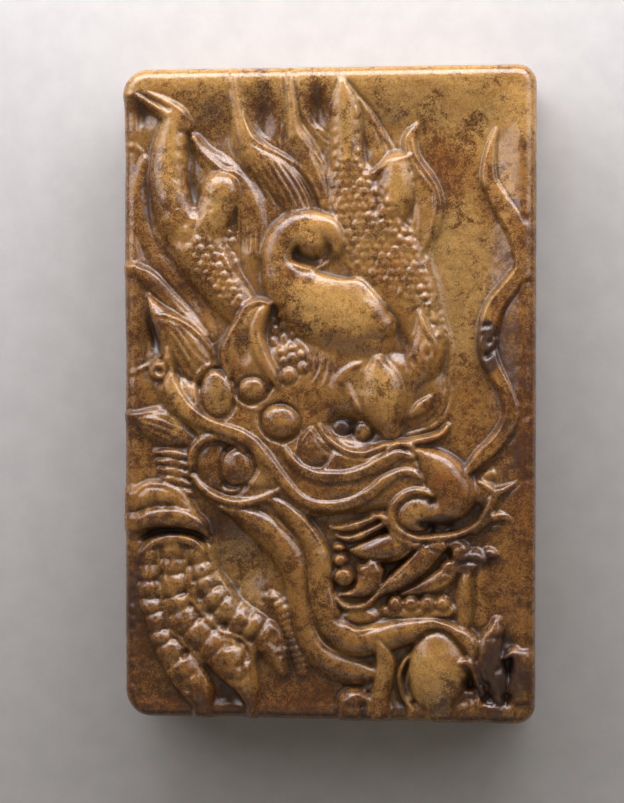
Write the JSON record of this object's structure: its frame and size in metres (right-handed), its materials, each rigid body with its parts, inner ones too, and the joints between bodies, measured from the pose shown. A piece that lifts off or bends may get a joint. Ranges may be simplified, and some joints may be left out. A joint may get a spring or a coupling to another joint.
{
  "type": "carved jade dragon plaque",
  "caption": "Rectangular brown jade plaque with rounded corners, its face carved in high relief with a dragon's head, antlers and claws over a pearl; flat plain back.",
  "frame": {"origin": "centre of the bounding box, at the flat back on which the plaque lies", "axes": "+Z out of the carved face, +Y toward the plaque's head edge, +X to the right as one looks down on the carving"},
  "size_m": [0.0414, 0.0654, 0.0109],
  "materials": {
    "jade": "polished honey-brown jade with dark brown patina in the hollows"
  },
  "bodies": {
    "root": {"plaque": "jade"}
  },
  "joints": []
}
